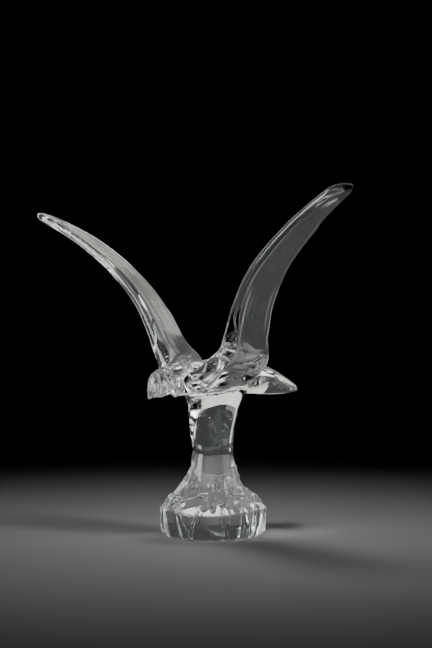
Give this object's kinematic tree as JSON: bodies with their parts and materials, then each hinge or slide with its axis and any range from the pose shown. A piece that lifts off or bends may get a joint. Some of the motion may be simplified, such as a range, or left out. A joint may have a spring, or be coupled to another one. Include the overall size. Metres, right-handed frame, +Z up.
{
  "type": "glass eagle statue",
  "caption": "Clear crystal eagle with raised, swept wings, a tooled head and a leaf-shaped tail, drawn with its waisted stem and rough foot from one mass of glass",
  "frame": {"origin": "on the ground under the middle of the foot", "axes": "+Z up, the eagle faces -Y and its left wing is on +X"},
  "size_m": [0.458, 0.2061, 0.3593],
  "materials": {
    "crystal": "fire-polished clear crystal with tooled flutes and sheared arrises"
  },
  "bodies": {
    "root": {"glass_eagle": "crystal"}
  },
  "joints": []
}
